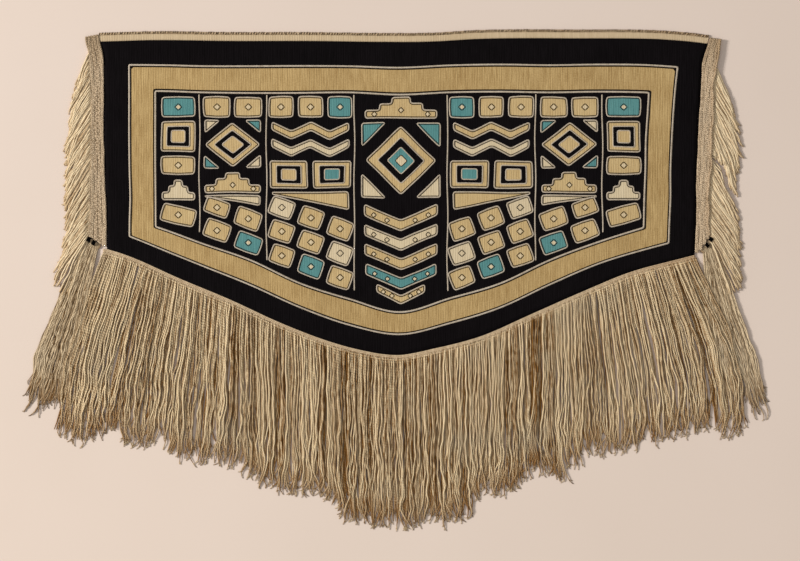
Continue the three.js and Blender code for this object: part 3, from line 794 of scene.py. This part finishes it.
def plaitSide(side, wool, outerWool, pale, rng):
    base = sideBand["base"][side]

    def backing(u, v):
        return bandPoint(side, 0.02 + 0.94 * (u if side == "right" else 1 - u), 0.006 + 0.984 * v)

    bm = slab(6, 60, backing, lambda u, v, x, y: base + 0 * u)
    bmeshToPiece(bm, f"{side}_braid_backing", [pale])
    inner, outer = [], []
    plaits = sideBand["plaits"]
    share = np.linspace(0.004, 0.996, int(sideBand["long"] / sideBand["step"]))
    for k in range(plaits):
        x, y = bandPoint(side, (k + 0.5) / plaits * sideBand["share"], share)
        x = x + 0.5 * np.sin(y / 21 + 2 * k) + 0.3 * np.sin(y / 9 + k)
        wide = np.abs(bandPoint(side, 1, share)[0] - bandPoint(side, 0, share)[0])
        swing = wide * sideBand["share"] / plaits / 2 - sideBand["strand"] * sideBand["overlap"]
        slip = 0.9 * np.sin(share * 37 + k * 2) + 0.7 * np.sin(share * 91 + k)
        for strand in range(3):
            phase = turn * (y / sideBand["pitch"] + strand / 3 + k * 0.21) + slip
            px = x + swing * np.sin(phase)
            pz = base + 0.9 + sideBand["weave"] * np.sin(2 * phase) + 0.3 * np.sin(y / 13 + 3 * k)
            path = np.stack([px, y, pz], axis=1)[None]
            tone = [rng.uniform(*sideBand["tone"][side])]
            strands = tubes(path, sideBand["strand"], sideBand["strandUp"], 5, tone=tone)
            (outer if k == plaits - 1 else inner).append(strands)
    x, y = bandPoint(side, 1 - 0.6 * (1 - sideBand["share"]), share)
    sway = sideBand["cordSway"] * (np.sin(y / 19) + 0.6 * np.sin(y / 8.3 + 1))
    for start in (0, 0.5):
        phase = turn * (y / sideBand["cordPitch"] + start)
        height = sideBand["cordHeight"][side] + 0.9 * np.cos(phase)
        path = np.stack([x + sway + 1.1 * np.sin(phase), y, height], axis=1)
        outer.append(tubes(path[None], sideBand["cord"], sideBand["cord"], 6, tone=[0.6]))
    strandPiece(f"{side}_braid_plaits", inner, wool, f"{side}_side_braid")
    strandPiece(f"{side}_braid_edge", outer, outerWool)


# Loose strands from roots to tips. Those of one clump sway together and draw in to its middle, and
# each has its own kinks, most of all near its end.
def looseStrands(roots, tips, steps, clump, style, rng):
    count, clumps = len(roots), clump.max() + 1
    t = np.linspace(0, 1, steps)
    run = tips - roots
    length = np.linalg.norm(run, axis=1)
    across = quarterTurn(run) / length[:, None]
    along = t * length[:, None]
    growth = style["start"] + (1 - style["start"]) * t ** style["growth"]
    offset = np.zeros((count, steps))
    for amplitude, wave in style["clumpWaves"]:
        phases = rng.uniform(0, turn, (clumps, 1))[clump]
        stretch = rng.uniform(0.8, 1.25, (clumps, 1))[clump]
        offset += amplitude * np.sin(turn * along / (wave * stretch) + phases) * growth
    for amplitude, wave in style["ownWaves"]:
        phases = rng.uniform(0, turn, (count, 1))
        stretch = rng.uniform(0.75, 1.35, (count, 1))
        amplitudes = amplitude * rng.uniform(0.3, 1.6, (count, 1))
        offset += amplitudes * np.sin(turn * along / (wave * stretch) + phases) * growth
    offset += rng.normal(0, style["hook"], (count, 1)) * np.clip((t - 0.87) / 0.13, 0, 1) ** 2
    offset += np.broadcast_to(style["bow"], count)[:, None] * 4 * t * (1 - t) * (0.4 + 1.1 * t)
    sizes = np.maximum(np.bincount(clump), 1)
    middles = np.column_stack([np.bincount(clump, roots[:, k]) / sizes for k in (0, 1)])
    spread = ((roots - middles[clump]) * across).sum(axis=1)[:, None]
    wind = style["wind"] * np.random.default_rng(7).uniform(-1, 1, (clumps, 1))[clump] * t
    gather = 1 - style["gather"] * (0.3 * np.clip(t / 0.3, 0, 1) + 0.7 * np.clip((t - 0.7) / 0.25, 0, 1))
    offset += spread * (np.cos(wind) * gather - 1)
    points = roots[:, None] + run[:, None] * t[:, None] + across[:, None] * offset[..., None]
    ripple = style["ripple"] * np.sin(turn * along / 31 + rng.uniform(0, turn, (count, 1)))
    raised = np.broadcast_to(style.get("raise", 0.0), count)[:, None]
    layer = rng.choice(style["layers"], count, p=style.get("shares"))[:, None] + ripple + raised
    layer = layer + 0.16 * spread * np.sin(wind)
    rise = np.clip(t / style["riseBy"], 0, 1)
    rest = style["radius"] * 1.25 + np.abs(ripple) + raised * 0.8
    settle = np.clip((t - style["settleFrom"]) / (1.02 - style["settleFrom"]), 0, 1) ** 1.5
    height = (style["rootHeight"] * (1 - rise) + layer * rise) * (1 - settle) + rest * settle
    return np.concatenate([points, np.maximum(height, style["radius"] * 1.25)[..., None]], axis=2)


# The ends of strands come untwisted, each into thinner yarns that part
partedYarn = {
    "apart": 0.32, "length": (5, 15), "bend": 3.5, "hidden": 3, "across": 1.0, "up": 0.9, "thinBy": 0.3,
}


def partedEnds(paths, each, rng, size=1.0, tone=(0.1, 0.7)):
    count = len(paths) * each
    before, ends = (np.repeat(paths[:, k], each, axis=0) for k in (-3, -1))
    along = ends[:, :2] - before[:, :2]
    along /= np.linalg.norm(along, axis=1, keepdims=True)
    angle = rng.normal(0, partedYarn["apart"], (count, 1))
    turned = along * np.cos(angle) + quarterTurn(along) * np.sin(angle)
    length = size * rng.uniform(*partedYarn["length"], (count, 1))
    bend = size * rng.normal(0, partedYarn["bend"], (count, 1))
    t = np.linspace(0, 1, 4)
    flat = (ends[:, :2] - along * partedYarn["hidden"])[:, None] + turned[:, None] * (length * t)[..., None]
    flat = flat + quarterTurn(turned)[:, None] * (bend * t**2)[..., None]
    height = ends[:, 2:] * (1 - t) + t
    path = np.concatenate([flat, height[..., None]], axis=2)
    across, up = (partedYarn[key] - partedYarn["thinBy"] * t for key in ("across", "up"))
    return tubes(path, across, up, 4, tone=rng.uniform(*tone, count))


def strandWidths(count, steps, style, rng):
    t = np.linspace(0, 1, steps)
    own = rng.uniform(0.82, 1.15, (count, 1))
    lumps = 1 + 0.08 * np.sin(turn * t * rng.uniform(5, 12, (count, 1)) + rng.uniform(0, turn, (count, 1)))
    frayed = 1 - 0.5 * np.clip((t - 0.965) / 0.035, 0, 1)
    thin = style.get("rootThin", 1)
    return style["radius"] * own * lumps * frayed * (thin + (1 - thin) * np.clip(t / 0.3, 0, 1))


# Paths of a fringe's strands from their roots to their tips, and the tubes along them
def spinStrands(roots, tips, steps, clump, style, sides, tone, rng, shade=0.0):
    count = len(roots)
    paths = looseStrands(roots, tips, steps, clump, style, rng)
    widths = strandWidths(count, steps, style, rng)
    return paths, tubes(paths, widths, widths * 0.95, sides, tone=rng.uniform(*tone, count) + shade)


def clumpsOf(places, sizes, rng):
    cuts = np.cumsum(rng.uniform(*sizes, 4000))
    cuts = cuts[cuts < places.max() - places.min()] + places.min()
    return np.searchsorted(cuts, places)


# Long warp fringe: where its longest strands end, taken along X, and how it fans out at both ends
warpFringe = {
    "left": -669, "right": 692, "footing": 15.3, "hidden": 7,
    "ends": (
        (-800, -362), (-769, -368), (-714, -377), (-659, -354), (-628, -386), (-567, -382), (-530, -376),
        (-493, -409), (-438, -432), (-412, -436), (-383, -416), (-346, -441), (-291, -474), (-254, -504),
        (-217, -502), (-162, -501), (-125, -529), (-89, -566), (-33, -556), (40, -566), (95, -561),
        (157, -560), (169, -545), (176, -504), (200, -495), (279, -488), (316, -452), (353, -444),
        (380, -456), (390, -420), (427, -421), (445, -402), (500, -409), (574, -377), (629, -366),
        (666, -345), (690, -362), (721, -359), (758, -372), (800, -352),
    ),
    "splay": {
        "from": -332, "to": 358, "left": 104, "right": 104, "power": 1.05, "leftBow": -19, "rightBow": 30,
        "sweep": 32, "sweepPower": 10,
    },
    # The strands near the middle of the fringe are made darker
    "middleDarkening": {"at": 10, "wide": 130, "by": -0.14},
    # The deeper a layer lies the darker its tones: painted shade beneath the upper strands, over their own
    # random tones
    "layers": (
        {"name": "under", "count": 390, "steps": 24, "height": 1.9, "lift": 0.2, "short": (2, 44),
         "tone": (0.0, 0.5), "gather": 0, "wind": 0, "radius": 1.85, "pull": 0, "waves": 0.5, "stray": 2},
        {"name": "middle", "count": 350, "steps": 46, "height": 3.8, "lift": 0.6, "short": (-7, 42),
         "tone": (0.15, 0.95), "gather": 0.3, "wind": 0.8, "radius": 1.6, "pull": 0.12, "waves": 0.9,
         "stray": 5},
        {"name": "upper", "count": 290, "steps": 58, "height": 5.6, "lift": 1.0, "short": (-7, 38),
         "tone": (0.35, 1.3), "gather": 0.4, "wind": 1.3, "radius": 1.7, "pull": 0.18, "waves": 1.1,
         "stray": 8},
    ),
    "clump": (11, 25), "clumpShort": 24, "clumpTone": 0.13, "parts": 2, "partTone": (0.25, 0.95),
}
fringeStyle = {
    "start": 0.22, "growth": 1.7, "clumpWaves": ((4.4, 240), (2.0, 95)),
    "ownWaves": ((2.1, 140), (1.2, 58), (0.6, 31)),
    "hook": 8.5, "ripple": 0.5, "rootHeight": 1.8, "riseBy": 0.045, "settleFrom": 0.72,
}


# How far straight down it is across a millimetre of the slanted footing
def footingDrop(x):
    return np.hypot(1, (lowerAt(x + 4) - lowerAt(x - 4)) / 8)


def hangWarpFringe(yarn, rng):
    splay, middleDarkening = warpFringe["splay"], warpFringe["middleDarkening"]
    left, right = warpFringe["left"], warpFringe["right"]
    longest = np.array(warpFringe["ends"], float).T
    node = "bottom_fringe"
    parted = []
    for layer in warpFringe["layers"]:
        count = layer["count"]
        pitch = (right - left) / count
        rootX = np.linspace(left, right, count) + rng.uniform(-0.6, 0.6, count) * pitch
        rootX = np.clip(rootX, left, right)
        rootY = lowerAt(rootX) - warpFringe["footing"] * footingDrop(rootX) + warpFringe["hidden"]
        clump = clumpsOf(rootX, warpFringe["clump"], np.random.default_rng(5))
        own = np.random.default_rng(9)
        middles = np.bincount(clump, rootX) / np.maximum(np.bincount(clump), 1)
        leftShare = np.clip((splay["from"] - rootX) / (splay["from"] - left), 0, 1)
        rightShare = np.clip((rootX - splay["to"]) / (right - splay["to"]), 0, 1)
        fan = splay["right"] * rightShare ** splay["power"] - splay["left"] * leftShare ** splay["power"]
        fan = fan + splay["sweep"] * rightShare ** splay["sweepPower"]
        tipX = rootX + fan + (middles[clump] - rootX) * layer["pull"] + rng.normal(0, layer["stray"], count)
        tipX = np.clip(tipX, left - splay["left"], right + splay["right"])
        low, high = layer["short"]
        short = low + (high - low) * rng.uniform(0, 1, count) ** 1.8
        tipY = np.interp(tipX, *longest) + short + own.uniform(0, warpFringe["clumpShort"], 200)[clump]
        style = dict(fringeStyle, gather=layer["gather"], wind=layer["wind"], radius=layer["radius"])
        style["layers"] = [layer["height"] + step * layer["lift"] for step in (-1, 0, 1)]
        for waves in ("clumpWaves", "ownWaves"):
            style[waves] = [(amplitude * layer["waves"], wave) for amplitude, wave in fringeStyle[waves]]
        style["bow"] = splay["rightBow"] * rightShare**2 + splay["leftBow"] * leftShare**2
        roots, tips = np.column_stack([rootX, rootY]), np.column_stack([tipX, tipY])
        shade = own.normal(0, warpFringe["clumpTone"], 200)[clump]
        shade += middleDarkening["by"] * np.exp(-((rootX - middleDarkening["at"]) / middleDarkening["wide"]) ** 2)
        paths, group = spinStrands(roots, tips, layer["steps"], clump, style, 4, layer["tone"], rng, shade)
        strandPiece(f"warp_fringe_{layer['name']}", [group], yarn, node)
        node = None
        if layer["gather"]:
            parted.append(partedEnds(paths, warpFringe["parts"], rng, 1.0, warpFringe["partTone"]))
    strandPiece("warp_fringe_ends", parted, yarn)


# Cream footing: rows of twined cord along the cloth's lower edge
footingRows = {"offsets": (3.6, 6.9, 10.2, 13.3), "across": 1.95, "up": 1.6, "bead": 6.4, "step": 2.4}


def twineFooting(cream):
    groups = []
    for row, offset in enumerate(footingRows["offsets"]):
        x = np.arange(warpFringe["left"] - 1, warpFringe["right"] + 1, footingRows["step"])
        y = lowerAt(x) - (0.3 + offset) * footingDrop(x)
        z = 2.3 + 0.15 * np.sin(x / 40)
        swell = 1 + 0.13 * np.sin(turn * x / footingRows["bead"] + row * 2.1)[None]
        path = np.stack([x, y, z], axis=1)[None]
        groups.append(tubes(path, footingRows["across"] * swell, footingRows["up"] * swell, 6, tone=[0.8]))
    strandPiece("fringe_footing", groups, cream)


# Soft side fringes, fanned down and out from the braids: where strands start, and where each one ends.
# Short strands and a jump in the right one's rows leave the bare notch between its two bunches.
sideFringes = {
    "left": ((524, -728, 458), (485, -746, 385), (416, -757, 308), (301, -758, 190), (209, -758, 98),
             (140, -771, 32), (129, -785, 19), (117, -787, -13), (108, -767, -30), (101, -751, -41)),
    "right": ((497, 775, 392), (481, 783, 368), (451, 794, 334), (416, 797, 285), (389, 791, 242),
              (366, 784, 190), (351, 786, 192), (345, 779, 208), (336, 756, 262), (305, 744, 278),
              (286, 740, 280), (277, 789, 148), (244, 791, 113), (209, 800, 85), (175, 798, 62),
              (145, 797, 21), (122, 800, -16), (108, 792, -28), (101, 771, -40)),
    "count": 185, "steps": 20, "clump": (6, 12), "hidden": 4, "stray": 2.6, "short": 20, "bow": 3.0,
    "parts": 2, "partSize": 0.35, "partTone": (0.5, 1.1),
    # The left fringe takes lower tones than the right one: painted shade, tempering the stronger light on
    # the left
    "drape": {"from": 165, "over": 50, "by": 2.4}, "tone": {"left": (0.42, 1.08), "right": (0.55, 1.5)},
}
sideStyle = {
    "radius": 1.95, "start": 0.12, "growth": 1.2,
    "clumpWaves": ((2.2, 90),), "ownWaves": ((1.0, 60), (0.5, 31)), "hook": 1.6, "ripple": 0.3,
    "rootHeight": 1.4, "riseBy": 0.16, "settleFrom": 0.7, "gather": 0.3, "wind": 1.2,
    "layers": (1.8, 3.4, 5.2), "shares": (0.3, 0.35, 0.35),
}


def hangSideFringe(side, yarn, rng):
    sign = outward[side]
    rows = np.array(sorted(sideFringes[side]), float).T
    count = sideFringes["count"]
    rootY = np.linspace(rows[0, -1], rows[0, 0], count) + rng.uniform(-1, 1, count)
    tips = np.column_stack([np.interp(rootY, rows[0], rows[k]) for k in (1, 2)])
    tips += rng.normal(0, sideFringes["stray"], (count, 2)) * (0.5, 1)
    edge = curveThrough(sideBand["outer"][side])
    roots = np.column_stack([edge(rootY) + sign * (0.3 - sideFringes["hidden"]), rootY])
    run = tips - roots
    length = np.linalg.norm(run, axis=1)
    short = np.minimum(sideFringes["short"] * rng.uniform(0, 1, count) ** 1.6, 0.3 * length)
    tips -= run * (short / length)[:, None]
    drape = sideFringes["drape"]
    raised = drape["by"] * np.clip((drape["from"] - rootY) / drape["over"], 0, 1)
    style = dict(sideStyle, bow=sideFringes["bow"] * sign, **{"raise": raised})
    clump = clumpsOf(rootY, sideFringes["clump"], rng)
    tone = sideFringes["tone"][side]
    paths, group = spinStrands(roots, tips, sideFringes["steps"], clump, style, 5, tone, rng)
    parted = partedEnds(paths, sideFringes["parts"], rng, sideFringes["partSize"], sideFringes["partTone"])
    strandPiece(f"{side}_fringe_strands", [group, parted], yarn, f"{side}_side_fringe")


# Corner tassels: twined head, wound black ties and loose strands. A bow bends strands to the outside
# where it is above nought, at the outer end of the head and at the inner one.
cornerTassels = {
    "left": {"outer": (-707.5, 98.6), "inner": (-677, 77.6), "bow": (11, 2), "tone": (0.05, 0.85),
             "tips": ((-844, -256), (-834, -274), (-806, -288), (-778, -280), (-748, -266))},
    "right": {"outer": (731.1, 101.4), "inner": (706.5, 65.4), "bow": (7, -14), "tone": (0.25, 1.2),
              "tips": ((847, -266), (846, -286), (824, -288), (792, -272), (754, -264))},
    "count": 96, "steps": 38, "clump": (8, 16), "roots": 0.82, "short": 44, "stray": 3.0,
    "tails": 0.1, "tailBy": (8, -34), "parts": 1, "headCords": 4, "headWide": 6.4, "headUp": 2.6,
    "wraps": (0.17, 0.53), "wrapTurns": 4, "wrapPitch": 2.1, "wrapHalf": 5.0, "wrapUp": 8.0,
}
tasselStyle = {
    "radius": 1.6, "rootThin": 0.6, "start": 0.12, "growth": 1.3,
    "clumpWaves": ((2.8, 170), (1.4, 80)), "ownWaves": ((2.0, 110), (1.2, 47), (0.5, 27)),
    "hook": 6.0, "ripple": 0.5, "rootHeight": 2.0, "riseBy": 0.08, "settleFrom": 0.7,
    "gather": 0.2, "wind": 1.5, "layers": (1.9, 3.0, 4.1), "shares": (0.3, 0.35, 0.35),
}


def tasselFrame(side):
    outer, inner = (np.array(cornerTassels[side][key], float) for key in ("outer", "inner"))
    along = (inner - outer) / np.linalg.norm(inner - outer)
    return outer, inner, along, outward[side] * quarterTurn(along)


def hangTassel(side, yarn, black, rng):
    outer, inner, along, out = tasselFrame(side)
    tassel = cornerTassels[side]
    count, steps = cornerTassels["count"], cornerTassels["steps"]
    share = np.clip((np.arange(count) + rng.uniform(-2, 2, count)) / (count - 1), 0, 1)
    roots = outer + (inner - outer) * (0.05 + cornerTassels["roots"] * share[:, None])
    ends = np.array(tassel["tips"], float)
    places = np.linspace(0, 1, len(ends))
    tips = np.column_stack([np.interp(share, places, ends[:, k]) for k in (0, 1)])
    run = tips - roots
    short = cornerTassels["short"] * rng.uniform(0, 1, count) ** 1.7
    tips -= run * (short / np.linalg.norm(run, axis=1))[:, None]
    tips += rng.normal(0, cornerTassels["stray"], tips.shape)
    tails = (rng.uniform(0, 1, count) < cornerTassels["tails"]) & (share < 0.5)
    tips[tails] += np.array(cornerTassels["tailBy"]) * (outward[side], 1)
    bow = outward[side] * (tassel["bow"][0] * (1 - share) + tassel["bow"][1] * share)
    style = dict(tasselStyle, bow=bow)
    clump = clumpsOf(share * 90, cornerTassels["clump"], rng)
    paths, group = spinStrands(roots, tips, steps, clump, style, 5, tassel["tone"], rng)
    groups = [group, partedEnds(paths, cornerTassels["parts"], rng)]
    t = np.linspace(0, 1, 30)[:, None]
    for row in np.linspace(-0.5, 0.5, cornerTassels["headCords"]) * cornerTassels["headWide"]:
        flat = outer + (inner - outer) * t + out * row
        height = cornerTassels["headUp"] + 0.25 * np.sin(t[:, 0] * 55 + row)
        groups.append(tubes(np.column_stack([flat, height])[None], 1.5, 1.5, 6, tone=[0.6]))
    strandPiece(f"{side}_tassel_strands", groups, yarn, f"{side}_corner_tassel")
    s = np.linspace(-1, 1, 14)
    for place, which in zip(cornerTassels["wraps"], ("upper", "lower")):
        turns = []
        for k in range(cornerTassels["wrapTurns"]):
            shift = (k - (cornerTassels["wrapTurns"] - 1) / 2) * cornerTassels["wrapPitch"]
            middle = outer + (inner - outer) * place + along * shift
            flat = middle + out * (s * cornerTassels["wrapHalf"])[:, None] + along * (s * 0.5)[:, None]
            height = cornerTassels["headUp"] + cornerTassels["wrapUp"] * np.clip(1 - s**2, 0, 1) ** 0.4
            turns.append(tubes(np.column_stack([flat, height])[None], 1.2, 1.0, 6, tone=[rng.uniform(0, 1)]))
        strandPiece(f"{side}_{which}_tie", turns, black, f"{side}_tie_wrap_{which}")


# Pale paper floor under the blanket, a little lighter towards its lower edge: painted light
floorSheet = {"size": 6.0, "below": 0.05}


def layFloor():
    material, tree, shader = startMaterial("palePaper", 0.9)
    place = tree.nodes.new("ShaderNodeTexCoord").outputs["Object"]
    cloudy = between(tree, noiseOn(tree, place, (1.6, 1.6, 1.6), 3.0), 0.3, 0.7)
    grain = between(tree, noiseOn(tree, place, (420, 420, 420)), 0.3, 0.7)
    shade = maths(tree, "ADD", maths(tree, "MULTIPLY", cloudy, 0.7), maths(tree, "MULTIPLY", grain, 0.3))
    # Painted light: the lower colours are a touch lighter than the upper ones, so the floor brightens
    # towards the bottom
    lower = mixColours(tree, shade, dye((223, 207, 194)), dye((228, 212, 200)))
    upper = mixColours(tree, shade, dye((221, 205, 193)), dye((225, 210, 199)))
    raised = between(tree, splitUp(tree, place)[1], -0.5, 0.5)
    fill(tree, shader.inputs["Base Color"], mixColours(tree, raised, lower, upper))
    raiseBy(tree, shader, grain, 0.05, 0.3)
    bm = bmesh.new()
    bmesh.ops.create_grid(bm, x_segments=4, y_segments=4, size=floorSheet["size"])
    bmesh.ops.translate(bm, verts=bm.verts[:], vec=(0, 0, -floorSheet["below"] * mm))
    mesh = bpy.data.meshes.new("floor")
    bm.to_mesh(mesh)
    bm.free()
    mesh.materials.append(material)
    floor = bpy.data.objects.new("floor", mesh)
    bpy.context.scene.collection.objects.link(floor)


# Wools of the cloth: colour, painted shade colour of the grooves and streak colour,
# then strength of the painted groove shade, sheen and gloss
woolDyes = {
    "blackWool": ((12, 10, 11), (5, 4, 4), (22, 19, 21), 0.5, 0.0, 0.02),
    "yellowWool": ((153, 123, 76), (98, 74, 36), (202, 174, 122)),
    "goldWool": ((182, 154, 106), (116, 92, 52), (210, 186, 138)),
    "creamCellWool": ((200, 182, 148), (134, 114, 80), (220, 204, 172)),
    "tealWool": ((72, 124, 126), (34, 66, 70), (100, 152, 150)),
    "headingWool": ((188, 166, 133), (134, 112, 80), (210, 189, 156), 0.15),
    "backingWool": ((206, 182, 148), (140, 116, 84), (222, 200, 168)),
}

# Yarns: light, dark, greyed and end colours, then twist pitch, painted groove shade, painted flank shade,
# sheen, gloss
yarnDyes = {
    "creamLine": ((228, 217, 200), (174, 158, 136), (212, 200, 182), (214, 200, 178), 5.2, 0.25, 0.25),
    "darkLine": ((40, 26, 9), (16, 10, 5), (30, 20, 9), (30, 20, 9), 5, 0.35, 0.4, 0.04, 0.03),
    "brownYarn": ((132, 104, 74), (66, 48, 30), (100, 82, 62), (92, 70, 48), 6, 0.35, 0.4, 0.04, 0.03),
    "blackYarn": ((18, 15, 16), (6, 5, 6), (16, 15, 18), (10, 8, 8), 4.5, 0.35, 0.4, 0.0, 0.02),
    "warpYarn": ((255, 236, 196), (142, 102, 48), (210, 197, 168), (160, 120, 74), 12, 0.6, 0.33),
    "tasselYarn": ((250, 228, 190), (116, 84, 42), (200, 184, 158), (146, 106, 60), 7, 0.35, 0.45),
    "sideYarn": ((255, 236, 198), (154, 112, 60), (234, 212, 176), (222, 192, 146), 7, 0.32, 0.45),
    "braidYarn": ((240, 217, 184), (130, 104, 70), (204, 186, 160), (176, 152, 120), 6.5, 0.45, 0.3),
    "leftEdgeYarn": ((226, 206, 176), (142, 116, 80), (198, 180, 150), (168, 146, 116), 6.5, 0.45, 0.3),
    "rightEdgeYarn": ((238, 215, 182), (142, 112, 74), (204, 186, 158), (180, 155, 120), 6.5, 0.45, 0.3),
    "footingYarn": ((230, 208, 174), (160, 132, 96), (206, 188, 158), (194, 164, 128), 6.4, 0.3, 0.35),
}

placeCamera()
placeLights()
layFloor()
print("camera, light and floor placed")

wool = {name: twinedWool(name, *row) for name, row in woolDyes.items()}
yarn = {name: spunYarn(name, *row) for name, row in yarnDyes.items()}
print("materials mixed")

ground = weaveGround(wool["blackWool"])
weaveBorder(wool["yellowWool"])
twineBorderLines(yarn["creamLine"], yarn["darkLine"])
fills = [wool[name] for name in ("goldWool", "creamCellWool", "tealWool", "blackWool")]
weaveField(fills, yarn["creamLine"], yarn["darkLine"])
print("cloth woven")

twineHeading(wool["headingWool"])
lashHeading(yarn["brownYarn"], yarn["footingYarn"], np.random.default_rng(3))
for side, seed in (("left", 21), ("right", 22)):
    edgeYarn = yarn[f"{side}EdgeYarn"]
    plaitSide(side, yarn["braidYarn"], edgeYarn, wool["backingWool"], np.random.default_rng(seed))
print("heading and braids made")

twineFooting(yarn["footingYarn"])
hangWarpFringe(yarn["warpYarn"], np.random.default_rng(41))
for side, seed in (("left", 51), ("right", 52)):
    hangSideFringe(side, yarn["sideYarn"], np.random.default_rng(seed))
    hangTassel(side, yarn["tasselYarn"], yarn["blackYarn"], np.random.default_rng(seed + 10))
print("fringes hung")
